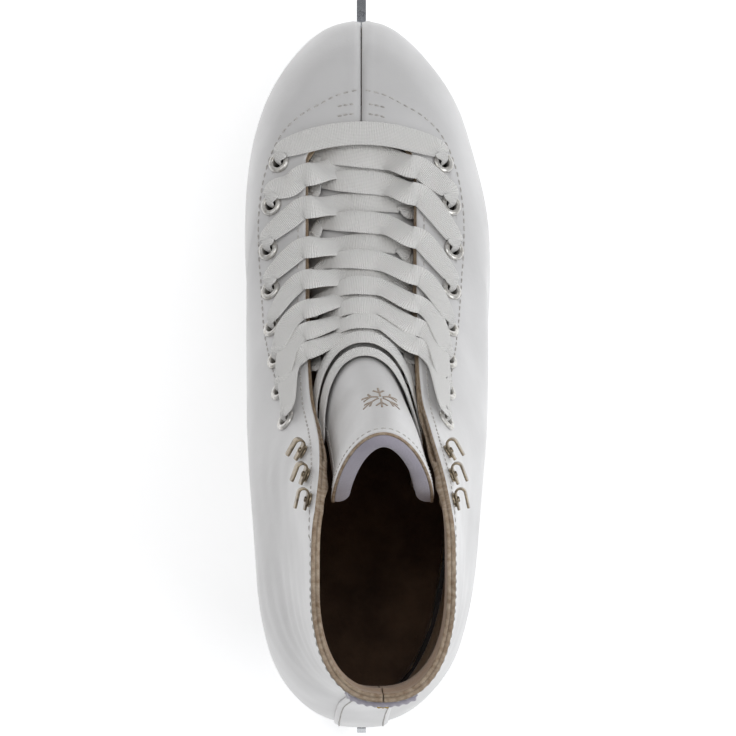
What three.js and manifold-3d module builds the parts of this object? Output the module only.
// A laced figure skate for the right foot, in millimetres: +Y to the toe, +X to the outside of the foot, +Z up.
// The origin is the middle of the runner's bottom edge, where it stands on the ice.
import * as THREE from "three";
import { mergeVertices } from "three/addons/utils/BufferGeometryUtils.js";
import Module from "manifold-3d";

// ---- Driving sizes ----
const bootLength = 268; // heel to toe over the upper
const ballWidth = 94; // over the upper at the ball of the foot
const shaftWidth = 51; // over the collar
const shaftLean = 8; // sideways shift of the collar from the blade's plane
const bladeLength = 290;
const bladeThickness = 3.6;
const rockerRadius = 2100;
const soleHeight = 53; // ice to the upper's bottom edge under the ball of the foot
const heelRise = 40; // how much higher the heel seat is than the ball
const outsoleThickness = 7;
const plateThickness = 2.4;
const upperThickness = 1.6;
const stiffenerThickness = 0.8;
const liningThickness = 1;
const layerGap = 0.35; // clearance between pieces that touch
const throatWidth = 42;
const eyeletHole = 3.1; // radius of the hole that an eyelet sits in
const eyeletWall = 0.5;
const laceWidth = 9.5;
const laceThickness = 1.3;
const tongueCover = 1.4;
const tonguePadding = 5;
const screwRadius = 1.7;
const screwHead = 3.6;
const foldGap = 1.6; // slot between a flap and the boot, on the line where the flap folds

// ---- Small tools ----
const wasm = await Module();
wasm.setup();
const skate = new THREE.Group();
const clamp = (value, low, high) => Math.min(high, Math.max(low, value));
const mix = (a, b, t) => a + (b - a) * t;
const range = (count) => Array.from({ length: count }, (_, i) => i);
const vec = (x, y, z) => new THREE.Vector3(x, y, z);

function smooth(t, from, to) {
  const s = clamp((t - from) / (to - from), 0, 1);
  return s * s * (3 - 2 * s);
}

// The value at t of a smooth curve through [place, value] pairs, held level past both ends.
function through(pairs, t) {
  const last = pairs.length - 1;
  if (t <= pairs[0][0]) return pairs[0][1];
  if (t >= pairs[last][0]) return pairs[last][1];
  const i = pairs.findIndex((pair) => pair[0] > t) - 1;
  const slope = (j) => {
    const a = pairs[Math.max(0, j - 1)];
    const b = pairs[Math.min(last, j + 1)];
    return (b[1] - a[1]) / (b[0] - a[0]);
  };
  const step = pairs[i + 1][0] - pairs[i][0];
  const s = (t - pairs[i][0]) / step;
  const rise = pairs[i + 1][1] - pairs[i][1];
  const bend = slope(i) * step * s * (1 - s) * (1 - s) - slope(i + 1) * step * s * s * (1 - s);
  return pairs[i][1] + rise * s * s * (3 - 2 * s) + bend;
}

function toSolid(geometry) {
  const bare = geometry.clone();
  bare.deleteAttribute("normal");
  bare.deleteAttribute("uv");
  const merged = mergeVertices(bare, 1e-3);
  return new wasm.Manifold(
    new wasm.Mesh({
      numProp: 3,
      vertProperties: merged.attributes.position.array,
      triVerts: new Uint32Array(merged.index.array),
    }),
  );
}

function toGeometry(solid) {
  const mesh = solid.getMesh();
  return new THREE.BufferGeometry()
    .setAttribute("position", new THREE.BufferAttribute(new Float32Array(mesh.vertProperties), 3))
    .setIndex(new THREE.BufferAttribute(new Uint32Array(mesh.triVerts), 1));
}

// Cuts the tool geometries out of a geometry.
function cut(geometry, tools) {
  return toGeometry(tools.reduce((solid, tool) => solid.subtract(toSolid(tool)), toSolid(geometry)));
}

function join(geometries) {
  return toGeometry(geometries.map(toSolid).reduce((solid, next) => solid.add(next)));
}

// Stands a geometry made along +Z at a place, with its Z axis along a direction.
function stand(geometry, place, direction, across) {
  const z = direction.clone().normalize();
  const start = across || (Math.abs(z.x) < 0.9 ? vec(1, 0, 0) : vec(0, 1, 0));
  const x = start.clone().addScaledVector(z, -start.dot(z)).normalize();
  const y = z.clone().cross(x);
  return geometry.clone().applyMatrix4(new THREE.Matrix4().makeBasis(x, y, z).setPosition(place));
}

function rod(radius, low, high, sides = 12) {
  return new THREE.CylinderGeometry(radius, radius, high - low, sides)
    .rotateX(Math.PI / 2)
    .translate(0, 0, (low + high) / 2);
}

function box(low, high) {
  const size = high.clone().sub(low);
  const middle = low.clone().add(high).multiplyScalar(0.5);
  return new THREE.BoxGeometry(size.x, size.y, size.z).translate(middle.x, middle.y, middle.z);
}

const finishes = {
  white_leather: { color: 0xe4e3e6, roughness: 0.42 },
  inner_board: { color: 0x9b7d5c, roughness: 0.8 },
  lining: { color: 0x9a7247, roughness: 0.85 },
  tongue_lining: { color: 0xa8a2ad, roughness: 0.9 },
  lace: { color: 0xd8d5cf, roughness: 0.85 },
  eyelet: { color: 0xe2e0de, roughness: 0.35, metalness: 0.2 },
  hook: { color: 0x7a6a58, roughness: 0.35, metalness: 0.9 },
  steel: { color: 0xb4b6b9, roughness: 0.25, metalness: 1 },
  sole: { color: 0x2c211b, roughness: 0.5 },
};

function add(name, finish, geometry) {
  const mesh = new THREE.Mesh(geometry, new THREE.MeshStandardMaterial(finishes[finish]));
  mesh.name = name;
  skate.add(mesh);
}

// ---- The boot's outer surface ----
// A ring at front height h runs from the heel's middle (u = 0) to the toe's or throat's middle (u = 1).
const alongBoot = bootLength / 268;
const ballHalf = ballWidth / 2;
const collarHalf = shaftWidth / 2;
const widen = ballHalf / 47;
const collarHeight = soleHeight + 203;
const heelSeat = soleHeight + heelRise;
const frontLine = [
  [0, 131.5], [7, 133.6], [15, 134], [25, 132], [35, 125.5], [42, 117], [47, 106.5], [51, 96.5],
  [55, 84], [60, 68], [66, 53.5], [74, 39], [83, 27.5], [93, 15.5], [106, 2.5], [121, -8],
  [137, -16.5], [156, -24], [175, -31], [203, -38],
];
const backLine = [
  [0, -131], [10, -133.4], [20, -134], [31, -133.6], [47, -131], [67, -126.5], [87, -122.5],
  [107, -119.8], [129, -118.4], [150, -118.4],
];
const backRise = [
  [0, 0], [19, 10], [42, 20], [65, 34], [83, 48], [107, 69], [137, 97], [171, 128], [203, 150],
];
const halfWidths = [
  [0, 42.5], [7, 45.4], [15, 46.8], [27, 47], [43, 46], [60, 45.6], [93, 43.6], [106, 41], [121, 36.8],
  [137, 32.6], [156, 29.6], [175, 27.4], [190, 26], [203, 25.5],
];
const boxiness = [[0, 2.5], [60, 2.5], [93, 2.7], [121, 3], [156, 3.7], [203, 4.3]];
const backBoxiness = [[0, 2.5], [93, 2.5], [156, 2.42], [203, 2.36]];
const leanLine = [[80, 0], [106, 1], [121, 2], [137, 4.2], [156, 6], [175, 7.3], [203, 8]];
const insideFoot = [[0, 0.953], [0.12, 0.93], [0.25, 0.85], [0.42, 0.825], [0.7, 0.993], [0.88, 1.05], [1, 0.93]];
const outsideFoot = [
  [0, 0.953], [0.12, 0.968], [0.25, 0.932], [0.41, 0.966], [0.7, 1.09], [0.81, 1.06], [0.9, 1.016], [1, 0.8],
];
const seamGap = 0.4;

const lean = (h) => through(leanLine, h - soleHeight) * (shaftLean / 8);

function halfWidth(h) {
  const footPart = widen;
  const shaftPart = collarHalf / 25.5;
  return through(halfWidths, h - soleHeight) * mix(footPart, shaftPart, smooth(h - soleHeight, 90, 190));
}

function surface(side, u, h) {
  const up = h - soleHeight;
  const backUp = through(backRise, up);
  const front = through(frontLine, up) * alongBoot;
  const back = through(backLine, backUp) * alongBoot;
  const turn = Math.PI * clamp(u, 0, 1);
  const cosine = Math.cos(turn);
  const power = 2 / through(cosine > 0 ? backBoxiness : boxiness, up);
  const along = (1 - Math.sign(cosine) * Math.abs(cosine) ** power) / 2;
  const foot = mix(1, through(side < 0 ? insideFoot : outsideFoot, along), 1 - smooth(up, 65, 121));
  const out = Math.max(seamGap / 2, halfWidth(h) * foot * Math.abs(Math.sin(turn)) ** power);
  return vec(
    lean(h) + side * out,
    mix(back, front, along),
    mix(heelSeat + backUp, h, smooth(along, 0.27, 0.6)),
  );
}

function outward(side, u, h) {
  const du = 0.004;
  const dh = 0.4;
  const inU = clamp(u, du, 1 - du);
  const inH = clamp(h, soleHeight + dh, collarHeight - dh);
  const alongU = surface(side, inU + du, inH).sub(surface(side, inU - du, inH));
  const alongH = surface(side, inU, inH + dh).sub(surface(side, inU, inH - dh));
  const normal = alongU.cross(alongH).multiplyScalar(side);
  if (u <= 0.001 || u >= 0.999) normal.x = 0;
  return normal.normalize();
}

// A point of the boot at a depth under its outer surface.
function under(side, u, h, depth) {
  const point = surface(side, u, h).addScaledVector(outward(side, u, h), -depth);
  const least = lean(h) + (side * seamGap) / 2;
  point.x = side > 0 ? Math.max(point.x, least) : Math.min(point.x, least);
  return point;
}

// The throat between the two facings: a round front end, then two nearly parallel edges up to the collar.
const throatFront = soleHeight + 52;
const throatRound = 2.4;
const throatEdges = [[60, 1], [106, 0.98], [137, 0.98], [156, 1], [203, 1.15]];

function throatHalf(h) {
  if (h <= throatFront) return 0;
  const t = clamp((h - throatFront) / throatRound, 0, 1);
  return (throatWidth / 2) * Math.sqrt(1 - (1 - t) ** 2) * through(throatEdges, h - soleHeight);
}

// The ring place whose distance from the boot's middle plane is the one wanted, on the front half.
function ringPlace(side, h, distance) {
  let low = 0.55;
  let high = 1;
  for (let i = 0; i < 40; i += 1) {
    const middle = (low + high) / 2;
    if (Math.abs(surface(side, middle, h).x - lean(h)) > distance) low = middle;
    else high = middle;
  }
  return (low + high) / 2;
}

const facingEdge = (side, h, extra = 0) =>
  h <= throatFront && extra === 0 ? 1 : ringPlace(side, h, Math.max(throatHalf(h) + extra, 0));

// Columns share one count, so that the layers of the boot lie parallel: column 0 is the heel's middle and
// the last one the throat's edge, or the toe's middle where a ring is closed.
const columnCount = 12;
const oneSide = (side, first, last) => (h) =>
  range(last - first + 1).map((i) => [side, (facingEdge(side, h) * (first + i)) / columnCount]);
const overHeel = (reach) => (h) => [...oneSide(-1, 0, reach)(h).reverse(), ...oneSide(1, 0, reach)(h)];
const overToe = (reach) => (h) => [
  ...oneSide(-1, columnCount - reach, columnCount)(h),
  ...oneSide(1, columnCount - reach, columnCount)(h).reverse(),
];

// A closed sheet with rows at the heights, columns at the ring places, between two depths.
function sheet(rowHeights, places, outer, inner) {
  const points = [];
  for (const depth of [outer, inner])
    for (const h of rowHeights)
      for (const [side, u] of places(h)) {
        const point = under(side, u, h, depth);
        points.push(point.x, point.y, point.z);
      }
  return closedSheet(points, rowHeights.length, places(rowHeights[0]).length);
}

// Joins two grids of points, one after the other in the list, into one closed body.
function closedSheet(points, rows, columns) {
  const faces = [];
  const at = (layer, row, column) => layer * rows * columns + row * columns + column;
  const corner = (i) => vec(points[3 * i], points[3 * i + 1], points[3 * i + 2]);
  // Each four-cornered face is split along its shorter diagonal, so parallel layers split alike.
  const quad = (a, b, c, d) => {
    if (corner(a).distanceTo(corner(c)) < corner(b).distanceTo(corner(d))) faces.push(a, b, c, a, c, d);
    else faces.push(b, c, d, b, d, a);
  };
  for (const row of range(rows - 1))
    for (const column of range(columns - 1)) {
      quad(at(0, row, column), at(0, row, column + 1), at(0, row + 1, column + 1), at(0, row + 1, column));
      quad(at(1, row, column), at(1, row + 1, column), at(1, row + 1, column + 1), at(1, row, column + 1));
    }
  for (const column of range(columns - 1)) {
    quad(at(0, 0, column), at(1, 0, column), at(1, 0, column + 1), at(0, 0, column + 1));
    const top = rows - 1;
    quad(at(0, top, column), at(0, top, column + 1), at(1, top, column + 1), at(1, top, column));
  }
  for (const row of range(rows - 1)) {
    quad(at(0, row, 0), at(0, row + 1, 0), at(1, row + 1, 0), at(1, row, 0));
    const end = columns - 1;
    quad(at(0, row, end), at(1, row, end), at(1, row + 1, end), at(0, row + 1, end));
  }
  return facingOut(points, faces);
}

function facingOut(points, faces) {
  const corner = (i) => vec(points[3 * i], points[3 * i + 1], points[3 * i + 2]);
  let volume = 0;
  for (let i = 0; i < faces.length; i += 3)
    volume += corner(faces[i]).dot(corner(faces[i + 1]).cross(corner(faces[i + 2])));
  const out = [];
  for (let i = 0; i < faces.length; i += 3)
    if (volume > 0) out.push(faces[i], faces[i + 1], faces[i + 2]);
    else out.push(faces[i], faces[i + 2], faces[i + 1]);
  return new THREE.BufferGeometry()
    .setAttribute("position", new THREE.Float32BufferAttribute(points, 3))
    .setIndex(out);
}

// ---- Upper, stiffeners and lining, each in a left and a right half ----
const leftAndRight = [["left", -1], ["right", 1]];
const liningOuter = upperThickness + stiffenerThickness + 2 * layerGap;
const liningInner = liningOuter + liningThickness;
const heights = (ups) => ups.map((up) => soleHeight + up);
const rows = heights([0, 9, 24, 40, 51.9, 52.7, 54.4, 60, 73, 93, 114, 135, 162, 203]);

// The line on which each flap folds, from above the last eyelet back to the collar.
const foldFront = vec(0, -26, soleHeight + 134);
const foldBack = vec(0, -101, collarHeight - 8);
const foldLine = foldBack.clone().sub(foldFront).normalize();
const foldNormal = vec(0, foldLine.z, -foldLine.y);
const farAway = 400;
const pastFront = 15; // how far the fold's cut runs out of the throat's edge

function aboveFold(geometry, gap) {
  const keep = box(vec(-farAway, -farAway, gap), vec(farAway, pastFront, farAway));
  return toGeometry(toSolid(geometry).intersect(toSolid(stand(keep, foldFront, foldNormal))));
}

function belowFold(geometry, gap) {
  const above = box(vec(-farAway, -farAway, -gap), vec(farAway, pastFront, farAway));
  return cut(geometry, [stand(above, foldFront, foldNormal)]);
}

// ---- Eyelets' places ----
const eyeletsPerSide = 8;
const eyeletLift = 0.6;
const eyeletFlange = 4.2;
const eyeletFlangeThickness = 0.6;
const firstEyelet = 78 * alongBoot;
const eyeletRow = [
  [0, 0, 10.2], [1, 16.3, 13], [2, 33.4, 14], [3, 48.6, 13], [4, 62.8, 12], [5, 74.8, 10.8], [6, 86.4, 9.8], [7, 97.2, 8.4],
];

// The point of the outer surface that lies over a place in plan.
function overPlan(side, x, y) {
  const wanted = Math.abs(x);
  let low = soleHeight + 30;
  let high = collarHeight;
  let u = 0.5;
  for (let i = 0; i < 40; i += 1) {
    const h = (low + high) / 2;
    const front = through(frontLine, h - soleHeight) * alongBoot;
    const back = through(backLine, through(backRise, h - soleHeight)) * alongBoot;
    const along = (y - back) / (front - back);
    const cosine = 1 - 2 * clamp(along, 0, 1);
    u = Math.acos(Math.sign(cosine) * Math.abs(cosine) ** (through(boxiness, h - soleHeight) / 2)) / Math.PI;
    const out = along >= 1 ? 0 : Math.abs(surface(side, u, h).x - lean(h));
    if (out > wanted) low = h;
    else high = h;
  }
  return { u, h: (low + high) / 2 };
}

function eyeletPlace(side, number) {
  const [, back, margin] = eyeletRow[number];
  const y = firstEyelet - back * alongBoot;
  const { u, h } = overPlan(side, throatWidth / 2 + margin, y);
  const normal = outward(side, u, h);
  const edge = surface(side, facingEdge(side, h), h);
  const point = surface(side, u, h);
  const away = point.clone().sub(edge);
  away.addScaledVector(normal, -away.dot(normal)).normalize();
  return { point, normal, away, h };
}

const eyelets = leftAndRight.flatMap(([word, side]) =>
  range(eyeletsPerSide).map((number) => ({ word, side, number, ...eyeletPlace(side, number) })),
);
const boreTool = (side) =>
  eyelets
    .filter((eyelet) => eyelet.side === side)
    .map((eyelet) => stand(rod(eyeletHole, -9, 4, 8), eyelet.point, eyelet.normal));

// ---- Speed hooks, riveted through each flap ----
const hookRises = [147, 164, 181];
const hookMargin = 8;
const hookWidth = 5;
const hookMetal = 0.9;
const hookMouth = 2.6;
const hookLift = 0.9;
const hookReach = 4;
const rivetRadius = 1.2;
function hookBody() {
  const inner = hookMouth / 2;
  const outer = inner + hookMetal;
  const bendX = -hookReach + outer;
  const middle = hookLift + hookMetal + inner;
  const shape = new THREE.Shape();
  shape.moveTo(hookReach, hookLift);
  shape.lineTo(hookReach, hookLift + hookMetal);
  shape.lineTo(bendX, hookLift + hookMetal);
  shape.absarc(bendX, middle, inner, -Math.PI / 2, Math.PI / 2, true);
  shape.lineTo(hookReach, middle + inner);
  shape.lineTo(hookReach, middle + outer);
  shape.lineTo(bendX, middle + outer);
  shape.absarc(bendX, middle, outer, Math.PI / 2, -Math.PI / 2, false);
  const strip = new THREE.ExtrudeGeometry(shape, { depth: hookWidth, bevelEnabled: false, curveSegments: 5 })
    .translate(0, 0, -hookWidth / 2)
    .rotateX(Math.PI / 2);
  return join([strip, rod(rivetRadius, -liningInner - layerGap, hookLift + hookMetal / 2, 8)]);
}

function hookPlace(side, h) {
  const u = facingEdge(side, h);
  const edge = surface(side, u, h);
  let place = u;
  while (surface(side, place, h).distanceTo(edge) < hookMargin) place -= 0.002;
  const point = surface(side, place, h);
  const normal = outward(side, place, h);
  const away = point.clone().sub(edge);
  away.addScaledVector(normal, -away.dot(normal)).normalize();
  return { point, normal, away };
}

const hooks = leftAndRight.flatMap(([word, side]) =>
  hookRises.map((rise, number) => ({ word, side, number, ...hookPlace(side, soleHeight + rise) })),
);
for (const { word, number, point, normal, away } of hooks)
  add(`hook_${word}_${number + 1}`, "hook", stand(hookBody(), point, normal, away));

const rivetTools = (side) =>
  hooks
    .filter((hook) => hook.side === side)
    .map((hook) => stand(rod(rivetRadius + layerGap, -9, 4, 8), hook.point, hook.normal));

for (const [word, side] of leftAndRight) {
  const whole = sheet(rows, oneSide(side, 0, columnCount), 0, upperThickness);
  add(`upper_${word}`, "white_leather", cut(belowFold(whole, foldGap / 2), boreTool(side)));
  add(`flap_${word}`, "white_leather", cut(aboveFold(whole, foldGap / 2), rivetTools(side)));
  const liningWhole = sheet(rows, oneSide(side, 0, columnCount), liningOuter, liningInner);
  add(`lining_${word}`, "lining", cut(belowFold(liningWhole, foldGap / 2), boreTool(side)));
  add(`flap_lining_${word}`, "lining", cut(aboveFold(liningWhole, foldGap / 2), rivetTools(side)));
}

for (const [number, eyelet] of eyelets.entries()) {
  const wall = eyeletHole - layerGap;
  const bore = wall - eyeletWall;
  const top = eyeletLift + eyeletFlangeThickness;
  const profile = [
    [bore, top], [bore, -liningInner], [wall, -liningInner], [wall, eyeletLift],
    [eyeletFlange, eyeletLift], [eyeletFlange - 0.5, top], [bore, top],
  ];
  const ring = new THREE.LatheGeometry(profile.map(([r, z]) => new THREE.Vector2(r, z)), 8).rotateX(Math.PI / 2);
  const name = `eyelet_${eyelet.word}_${(number % eyeletsPerSide) + 1}`;
  add(name, "eyelet", stand(ring, eyelet.point, eyelet.normal));
}

// ---- Stiffening between the upper and the lining, and the strips sewn on outside ----
const stiffOuter = upperThickness + layerGap;
const stiffInner = stiffOuter + stiffenerThickness;
const stayColumns = 3;
for (const [word, side] of leftAndRight) {
  const stay = sheet(rows.slice(3, 13), oneSide(side, columnCount - stayColumns, columnCount), stiffOuter, stiffInner);
  add(`eyelet_stay_${word}`, "inner_board", cut(belowFold(stay, foldGap / 2), boreTool(side)));
}
add("toe_stiffener", "inner_board", sheet(rows.slice(0, 3), overToe(4), stiffOuter, stiffInner));
add("heel_counter", "inner_board", sheet(rows.slice(0, 10), overHeel(4), stiffOuter, stiffInner));

const backStayHalf = 10;
const overlay = upperThickness / 2;
const backWidth = (half) => (h) => {
  let low = 0;
  let high = 0.4;
  for (let i = 0; i < 30; i += 1) {
    const middle = (low + high) / 2;
    if (Math.abs(surface(1, middle, h).x - lean(h)) < half) low = middle;
    else high = middle;
  }
  return low;
};
const overSeam = (half) => (h) => [1, 0.5, 0, 0, 0.5, 1].map((part, i) => [i < 3 ? -1 : 1, backWidth(half)(h) * part]);
const backStayHeights = [...rows.slice(0, 12), soleHeight + 158];
add("back_stay", "white_leather", sheet(backStayHeights, overSeam(backStayHalf), -2 * layerGap - overlay, -2 * layerGap));
const backTabHeights = heights([161, 170, 179, 190, 200]);
const backTab = overSeam(backStayHalf + 2);
add("back_tab", "tongue_lining", sheet(backTabHeights, backTab, -2 * layerGap - 2 * overlay, -2 * layerGap));

// ---- Bottom: outsole, filler, shank, insole board, footbed and heel block ----
// The edge of the sole at a ring place, moved outwards in plan.
function soleEdge(side, u, margin) {
  const flat = outward(side, u, soleHeight + 0.5).setZ(0).normalize();
  return surface(side, u, soleHeight).addScaledVector(flat, margin);
}

// The bottom's rows lie at the same ring places as the upper's columns.
const lastRing = 0.993;
const soleRings = range(columnCount + 1).map((i) => clamp(i / columnCount, 1 - lastRing, lastRing));

// A layer of the bottom over some of the rows, its top and bottom at levels over the sole line.
function soleLayer(rings, margin, top, bottom, columns = 3, most = Infinity) {
  const points = [];
  for (const level of [top, bottom])
    for (const u of rings) {
      const left = soleEdge(-1, u, margin);
      const right = soleEdge(1, u, margin);
      left.x = Math.max(left.x, -most);
      right.x = Math.min(right.x, most);
      for (const j of range(columns + 1)) {
        const point = left.clone().lerp(right, j / columns);
        points.push(point.x, point.y, point.z + level);
      }
    }
  return closedSheet(points, rings.length, columns + 1);
}

const plateTop = soleHeight - outsoleThickness - 2 * layerGap;
const plateBottom = plateTop - plateThickness;

const outsoleEdge = 1.2;
const boardEdge = -(liningInner + 0.7);
const fillerTop = 1.3;
const boardTop = fillerTop + layerGap + 2;
const footbedThickness = 3;
const frontScrews = [44, 73, 104].flatMap((y) => [vec(-19, y * alongBoot, 0), vec(19, y * alongBoot, 0)]);
const heelScrews = [-114, -90].flatMap((y) => [vec(-17, y * alongBoot, 0), vec(17, y * alongBoot, 0)]);
const screwBite = 4.5;
const heelScrewBite = 16;
const screwTools = (screws, low, high) =>
  screws.map((place) => rod(screwRadius + layerGap, low, high, 10).translate(place.x, place.y, 0));

const outsoleBottom = -layerGap - outsoleThickness;
const outsole = soleLayer(soleRings, outsoleEdge, -layerGap, outsoleBottom);
const frontBores = screwTools(frontScrews, plateTop - 1, plateTop + 2 * layerGap + screwBite);
add("outsole", "sole", cut(outsole, frontBores));
add("shank", "steel", soleLayer(soleRings.slice(4, 8), boardEdge, fillerTop, 0, 1, 7));
add("cork_filler", "inner_board", soleLayer(soleRings.slice(8, 12), boardEdge, fillerTop, 0));
const innerRings = soleRings.slice(1, -1);
const boardBottom = fillerTop + layerGap;
add("insole_board", "inner_board", soleLayer(innerRings, boardEdge, boardTop, boardBottom));
const footbedBottom = boardTop + layerGap;
const footbedTop = footbedBottom + footbedThickness;
add("footbed", "lining", soleLayer(innerRings, boardEdge - 0.6, footbedTop, footbedBottom));

// A closed loft through outlines of the same number of points, flat at both ends.
function loft(outlines) {
  const count = outlines[0].length;
  const points = outlines.flat().flatMap((point) => [point.x, point.y, point.z]);
  const faces = [];
  for (const layer of range(outlines.length - 1))
    for (const i of range(count)) {
      const a = layer * count + i;
      const b = layer * count + ((i + 1) % count);
      faces.push(a, b, b + count, a, b + count, a + count);
    }
  const top = (outlines.length - 1) * count;
  for (const i of range(count - 2)) {
    faces.push(0, i + 2, i + 1);
    faces.push(top, top + i + 1, top + i + 2);
  }
  return facingOut(points, faces);
}

const heelRings = soleRings.slice(0, 5).reverse();
function heelOutline(level, shrink, breastBack) {
  const side = (sign) =>
    heelRings.map((u, i) => {
      const point = soleEdge(sign, u, outsoleEdge - shrink).setZ(level);
      if (i === 0) point.y -= breastBack;
      return point;
    });
  return [...side(-1), ...side(1).reverse()];
}
const heelBlockTop = heelSeat + outsoleBottom - layerGap;
const heelBlock = loft([
  heelOutline(plateTop + layerGap, 4.5, 5),
  heelOutline(mix(plateTop, heelBlockTop, 0.5), 3, 3.5),
  heelOutline(heelBlockTop, 0.6, 1),
]);
const heelBores = screwTools(heelScrews, plateTop - 1, plateTop + 2 * layerGap + heelScrewBite);
add("heel_block", "sole", cut(heelBlock, heelBores));

// ---- Blade: runner, front mount and heel mount ----
const runnerHeight = 22;
const stanceFlat = 6;
const bladeEnd = bladeLength / 2;
const alongBlade = bladeEnd / 145;
const rocker = (y) => (y * y) / (2 * rockerRadius);
const outlineShape = (points) => new THREE.Shape(points.map(([y, z]) => new THREE.Vector2(y, z)));

// A side outline in Y and Z, given a thickness along X about the middle plane.
function fromSide(points, thickness, holes = []) {
  const shape = outlineShape(points);
  shape.holes = holes.map(outlineShape);
  return new THREE.ExtrudeGeometry(shape, { depth: thickness, bevelEnabled: false })
    .translate(0, 0, -thickness / 2)
    .rotateX(Math.PI / 2)
    .rotateZ(Math.PI / 2);
}

const bottomEdge = [-138, -110, -80, -50, -25, -stanceFlat, stanceFlat, 30, 55, 80, 104]
  .map((y) => y * alongBlade)
  .map((y) => [y, Math.abs(y) <= stanceFlat * alongBlade + 0.01 ? 0 : rocker(Math.abs(y) - stanceFlat)]);
const toePick = [
  [109.5, 2.6], [111, 7], [115, 4.4], [117, 9.6], [121.5, 8.4], [123, 14], [128, 13], [129.5, 18.6],
  [134.5, 18.2], [136, 23.6], [141, 23.6], [145, 30], [145, 36.5], [140, 39], [131, 31.5], [119, 24.5],
];
const tail = [[-118, runnerHeight], [-134, runnerHeight - 3], [-143, 13], [-145, 9], [-144, 6.5]];
const stretched = (points) => points.map(([y, z]) => [y * alongBlade, z]);
const runnerOutline = [...bottomEdge, ...stretched(toePick), [104 * alongBlade, runnerHeight], ...stretched(tail)];
add("runner", "steel", fromSide(runnerOutline, bladeThickness));

const cheek = 1.6; // wall of a stanchion on each side of the runner
const legThickness = bladeThickness + 2 * (layerGap + cheek);
const legBottom = runnerHeight - 8;
const runnerSlot = box(
  vec(-bladeThickness / 2 - layerGap, -bladeEnd - 9, 0),
  vec(bladeThickness / 2 + layerGap, bladeEnd + 9, runnerHeight + layerGap),
);
const overrun = 0.6; // how far a leg runs up into its plate before they are joined

function plate(from, to, half, corner) {
  const shape = new THREE.Shape();
  const quarter = Math.PI / 2;
  shape.absarc(half - corner, to - corner, corner, 0, quarter);
  shape.absarc(corner - half, to - corner, corner, quarter, 2 * quarter);
  shape.absarc(corner - half, from + corner, corner, 2 * quarter, 3 * quarter);
  shape.absarc(half - corner, from + corner, corner, 3 * quarter, 4 * quarter);
  return new THREE.ExtrudeGeometry(shape, { depth: plateThickness, bevelEnabled: false, curveSegments: 4 })
    .translate(0, 0, plateBottom);
}

const leg = (topBack, topFront, bottomBack, bottomFront) =>
  fromSide([
    [topBack, plateBottom + overrun], [bottomBack, legBottom], [bottomFront, legBottom],
    [topFront, plateBottom + overrun],
  ].map(([y, z]) => [y * alongBoot, z]), legThickness);

const frontPlate = plate(30 * alongBoot, 118 * alongBoot, 27, 14);
const frontMount = join([frontPlate, leg(34, 60, 48, 66), leg(80, 108, 90, 103)]);
const frontHoles = screwTools(frontScrews, plateBottom - 1, plateTop + 1);
add("front_mount", "steel", cut(frontMount, [runnerSlot, ...frontHoles]));
const heelPlate = plate(-126 * alongBoot, -79 * alongBoot, 24, 11);
const heelMount = join([heelPlate, leg(-121, -84, -114, -91)]);
const heelHoles = screwTools(heelScrews, plateBottom - 1, plateTop + 1);
add("heel_mount", "steel", cut(heelMount, [runnerSlot, ...heelHoles]));

function screw(place, bite) {
  const seat = plateBottom - layerGap;
  const tip = plateTop + layerGap + bite;
  const profile = [
    [0, seat - 1.9], [screwHead * 0.7, seat - 1.9], [screwHead, seat - 0.9], [screwHead, seat],
    [screwRadius, seat], [screwRadius, tip - 1], [0, tip],
  ];
  return new THREE.LatheGeometry(profile.map(([r, z]) => new THREE.Vector2(r, z)), 8)
    .rotateX(Math.PI / 2)
    .translate(place.x, place.y, 0);
}
frontScrews.forEach((place, i) => add(`sole_screw_${i + 1}`, "steel", screw(place, screwBite)));
heelScrews.forEach((place, i) => add(`heel_screw_${i + 1}`, "steel", screw(place, heelScrewBite)));

// ---- Tongue: a cover and a padded lining, in a sewn-in base and a free top that flexes ----
// Places along the tongue's middle, each with its Y, its rise over the sole, its half width and its drop.
const tongueMiddle = [
  [0, 100, 43, 26, 13], [0.073, 84, 48.3, 27, 14.5], [0.154, 66, 54, 26, 14.8], [0.229, 50, 61.5, 24, 14],
  [0.297, 37, 70.5, 21, 14], [0.358, 26.5, 79.5, 19, 15.5], [0.42, 17.5, 89.5, 18, 18], [0.475, 10.5, 99.5, 17.5, 20],
  [0.526, 5.5, 109.5, 17, 22], [0.593, 1, 123, 16.5, 25], [0.651, -3, 137, 16.6, 27], [0.707, -6, 151, 17, 29],
  [0.815, -12, 177, 17.6, 32], [0.915, -17.5, 199, 19.3, 35], [1, -22, 219, 20.5, 36],
];
const tongueColumn = (column) => tongueMiddle.map((row) => [row[0], row[column]]);
const [tongueY, tongueUp, tongueHalf, tongueDrop] = [1, 2, 3, 4].map(tongueColumn);
const tongueWrap = 1.35; // angle, in radians, to which the tongue's section turns at its sides
const tongueSideCut = 0.13; // share of the length by which the free end is lower at its sides

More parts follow.
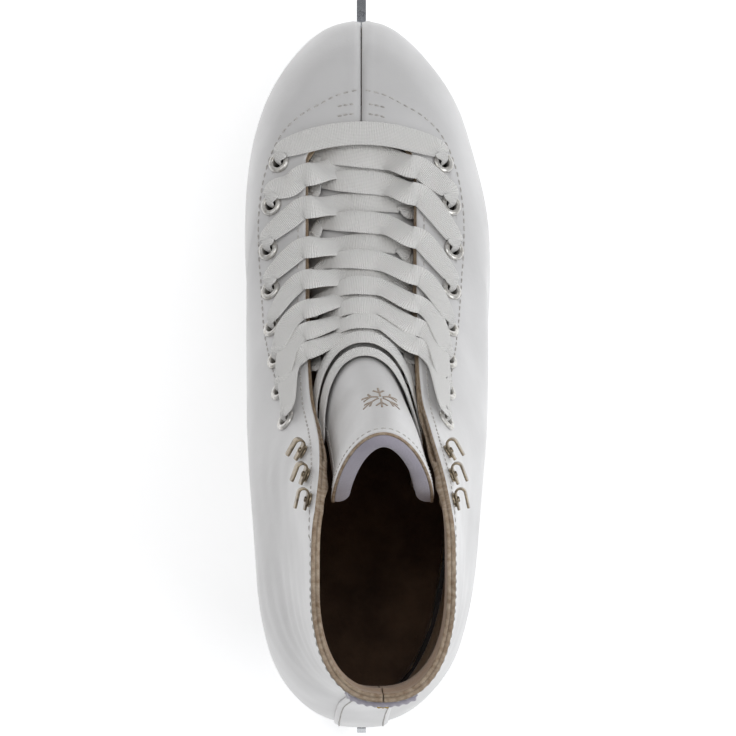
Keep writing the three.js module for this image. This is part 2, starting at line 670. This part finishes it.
function tonguePoint(across, along, depth) {
  const at = (s, t) => {
    const place = t * (1 - tongueSideCut * smooth(t, 0.7, 1) * Math.abs(s) ** 2.4);
    const turn = s * tongueWrap;
    const step = 0.01;
    const rise = through(tongueUp, place + step) - through(tongueUp, place - step);
    const run = (through(tongueY, place + step) - through(tongueY, place - step)) * alongBoot;
    const length = Math.hypot(rise, run);
    const drop = (through(tongueDrop, place) * (1 - Math.cos(turn))) / (1 - Math.cos(tongueWrap));
    const z = soleHeight + through(tongueUp, place);
    const wide = z < soleHeight + 110 ? widen : 1;
    return vec(
      lean(Math.min(z, collarHeight)) + (through(tongueHalf, place) * wide * Math.sin(turn)) / Math.sin(tongueWrap),
      through(tongueY, place) * alongBoot - (drop * rise) / length,
      z + (drop * run) / length,
    );
  };
  const step = 0.01;
  const alongS = at(across + step, along).sub(at(across - step, along));
  const t = clamp(along, step, 1 - step);
  const alongT = at(across, t + step).sub(at(across, t - step));
  return at(across, along).addScaledVector(alongT.cross(alongS).normalize(), -depth);
}

function tonguePiece(from, to, steps, outer, inner, inset = 0) {
  const points = [];
  const columns = 10;
  for (const depth of [outer, inner])
    for (const i of range(steps + 1))
      for (const j of range(columns + 1)) {
        const point = tonguePoint(mix(-1 + inset, 1 - inset, j / columns), mix(from, to, i / steps), depth);
        points.push(point.x, point.y, point.z);
      }
  return closedSheet(points, steps + 1, columns + 1);
}

const tongueFlex = 0.64;
const tongueSlot = 0.006;
const padOuter = tongueCover + layerGap;
const padInner = padOuter + tonguePadding;
const tongueParts = [["base", 0, tongueFlex - tongueSlot, 9], ["top", tongueFlex + tongueSlot, 1, 6]];
for (const [word, from, to, steps] of tongueParts) {
  add(`tongue_cover_${word}`, "white_leather", tonguePiece(from, to, steps, 0, tongueCover));
  add(`tongue_pad_${word}`, "tongue_lining", tonguePiece(from, to, steps, padOuter, padInner, 0.04));
}

// ---- Lace: one flat cord, threaded from the first pair of eyelets up to the last ----
// A station of the lace is its middle, the direction its flat side faces and its width there.
const station = (point, facing, width = laceWidth) => ({ point, facing: facing.clone().normalize(), width });
const laceInEyelet = 3.3;
const overFacing = -(eyeletLift + eyeletFlangeThickness + laceThickness / 2 + 0.3);
const onFacing = -(layerGap + laceThickness / 2);
const underFacing = liningInner + laceThickness / 2 + 0.4;
const eyeletOf = (side, number) => eyelets.find((eyelet) => eyelet.side === side && eyelet.number === number);

// A place beside an eyelet, a distance towards the throat and a depth under the surface.
function beside({ point, normal, away }, inwards, depth) {
  return point.clone().addScaledVector(away, -inwards).addScaledVector(normal, -depth);
}

// How far each lace comes to its eyelet from the toe's side, rather than from the throat.
const toeShare = [0.4, 0.6, 0.72, 0.75, 0.75, 0.72, 0.7, 0.66];

function leadIn({ normal, away, number }) {
  const toeward = vec(0, 1, 0).addScaledVector(normal, -normal.y).normalize();
  return toeward.multiplyScalar(toeShare[number]).addScaledVector(away, toeShare[number] - 1).normalize();
}

// Down through an eyelet, from over the facing to under it.
function downEyelet(eyelet) {
  const { point, normal, away } = eyelet;
  const lead = leadIn(eyelet);
  const over = (out, depth) => point.clone().addScaledVector(lead, out).addScaledVector(normal, -depth);
  return [
    station(over(5.5, overFacing - 0.25), normal, laceWidth * 0.86),
    station(over(2.6, overFacing - 0.4), normal, laceWidth * 0.62),
    station(over(0.9, overFacing), normal.clone().sub(lead), laceWidth * 0.36),
    station(over(0, overFacing + 1.5), lead.clone().negate(), laceInEyelet),
    station(beside(eyelet, 0, liningInner - 1), away, laceInEyelet),
    station(beside(eyelet, 0.9, underFacing), away.clone().sub(normal), laceWidth * 0.36),
    station(beside(eyelet, 3.2, underFacing + 0.6), normal.clone().negate(), laceWidth * 0.34),
  ];
}

// A place on the boot at a distance from the middle plane and a place along the foot.
function onPlan(side, distance, y, depth, width = laceWidth) {
  const { u, h } = overPlan(side, distance, y * alongBoot);
  return station(under(side, u, h, depth), outward(side, u, h), width);
}

// A place over the tongue.
function onTongue(across, along, lift, width = laceWidth) {
  const point = tonguePoint(across, along, -lift);
  return station(point, point.clone().sub(tonguePoint(across, along, 0)), width);
}

// The place along the tongue's middle that lies at y.
function tongueAt(y) {
  let low = 0;
  let high = 1;
  for (const _ of range(30)) {
    const middle = (low + high) / 2;
    if (through(tongueY, middle) > y) low = middle;
    else high = middle;
  }
  return low;
}

// Places along the foot of each strand that goes to the right, then of each that goes to the left: where it
// comes out from under one facing, at the tongue's middle, at the other facing's edge, and farther out on it.
const strands = {
  right: [
    [79.5, 79.4, 75, 71.5], [67.5, 69.3, 64.5, 60], [52, 53.5, 47.5, 42.5], [38.5, 38.7, 33, 28],
    [23.5, 28.5, 22, 16.5], [12.5, 20.5, 13, 7], [4, 14.5, 5.5, -1.5],
  ],
  left: [
    [75.5, 76.5, 72, 68.5], [60.5, 62.2, 59.5, 56], [44, 46.3, 44, 40.5], [32.5, 34.5, 31.5, 27],
    [17.5, 25.8, 20, 15], [7, 18.2, 11.5, 5.5], [-1, 12.4, 4, -2.5],
  ],
};
const lowStrand = 2.8 * layerGap + laceThickness / 2;
const highStrand = lowStrand + laceThickness + layerGap;

// From under one facing, over the tongue and over the other facing to the next eyelet up.
function crossing(side, number, onTop) {
  const [startY, middleY, edgeY, farY] = strands[side < 0 ? "right" : "left"][number];
  const lift = onTop ? highStrand : lowStrand;
  const edge = throatWidth / 2;
  const along = tongueAt(middleY);
  const slant = number < 4 ? 0.004 : 0.002;
  return [
    onPlan(side, edge + 1, startY, underFacing + 0.8, laceWidth * 0.42),
    onPlan(side, edge - 2.2, startY, underFacing - 0.2, laceWidth * 0.46),
    ...(number > 3 ? [onTongue(side * 0.72, along - slant, lowStrand + 1.2, laceWidth * 0.5)] : []),
    onTongue(side * 0.45, along - (onTop ? 2 : 1) * slant, lowStrand + 0.3, laceWidth * (onTop ? 0.55 : 0.9)),
    onTongue(side * 0.2, along - slant, lift, laceWidth * (onTop ? 0.9 : 1)),
    onTongue(0, along, lift + (onTop ? 0.5 : 0)),
    onTongue(-side * 0.25, along + slant, lift + (onTop ? 0.8 : 0)),
    onPlan(-side, edge - 4, mix(middleY, edgeY, 0.75), onFacing - 1.2),
    onPlan(-side, edge + 1, edgeY, onFacing - 0.9),
    onPlan(-side, edge + 5.5, farY, onFacing - (number > 3 ? 1.3 : 0.9)),
  ];
}

// The free end: from the last eyelet up beside the tongue, round its front and down inside the boot.
function tuckedEnd(side) {
  const [along, lift] = side > 0 ? [0.492, highStrand] : [0.537, lowStrand];
  const round = [1, 0.85, 0.65, 0.42, 0.2, 0, -0.2, -0.42, -0.65, -0.85, -1].map((across) =>
    onTongue(side * across, along + 0.105 * Math.abs(across) ** 2.4, lift, laceWidth * 0.92));
  const last = eyeletOf(side, eyeletsPerSide - 1);
  const start = station(beside(last, 6.5, underFacing + 2), last.normal, laceWidth * 0.4);
  const outwards = vec(side, 0.3, 0);
  const inside = [[20.5, -25, 158], [22, -30, 145], [22.5, -35, 128], [21, -40, 112]].map(([x, y, z]) =>
    station(vec(lean(z) - side * x, y * alongBoot, z), outwards, laceWidth * 0.85));
  return [start, ...round, ...inside];
}

function laceHalf(side) {
  const stations = [];
  for (const number of range(eyeletsPerSide)) {
    const here = number % 2 ? -side : side;
    stations.push(...downEyelet(eyeletOf(here, number)));
    if (number < eyeletsPerSide - 1) stations.push(...crossing(here, number, here < 0));
    else stations.push(...tuckedEnd(here));
  }
  return stations;
}

const barFront = 88.5;
const barDrop = 3.4; // how much farther back the bar is where it crosses the facings' edges
const firstBar = [-0.95, -0.5, 0, 0.5, 0.95].map((part) => {
  const y = barFront - barDrop * part * part;
  return onPlan(part < 0 ? -1 : 1, Math.abs(part) * (throatWidth / 2) + 0.25, y, onFacing - 0.9);
});
const laceStations = [...laceHalf(-1).reverse(), ...firstBar, ...laceHalf(1)];

// A flat section swept through the stations. A flat cord faces either way, so each station is turned to the last.
function flatCord(stations) {
  const points = [];
  const faces = [];
  let facing = stations[0].facing;
  stations.forEach(({ point, facing: wanted, width }, i) => {
    const before = stations[Math.max(0, i - 1)].point;
    const after = stations[Math.min(stations.length - 1, i + 1)].point;
    const forward = after.clone().sub(before).normalize();
    facing = wanted.clone().multiplyScalar(wanted.dot(facing) < 0 ? -1 : 1);
    facing.addScaledVector(forward, -facing.dot(forward)).normalize();
    const across = forward.clone().cross(facing);
    for (const [a, b] of [[-1, -1], [1, -1], [1, 1], [-1, 1]]) {
      const corner = point.clone().addScaledVector(across, (a * width) / 2)
        .addScaledVector(facing, (b * laceThickness) / 2);
      points.push(corner.x, corner.y, corner.z);
    }
    if (i === 0) return;
    for (const side of range(4)) {
      const a = 4 * (i - 1) + side;
      const b = 4 * (i - 1) + ((side + 1) % 4);
      faces.push(a, b, b + 4, a, b + 4, a + 4);
    }
  });
  const end = points.length / 3 - 4;
  faces.push(0, 2, 1, 0, 3, 2, end, end + 1, end + 2, end, end + 2, end + 3);
  return facingOut(points, faces);
}
add("lace", "lace", flatCord(laceStations));

export default skate;
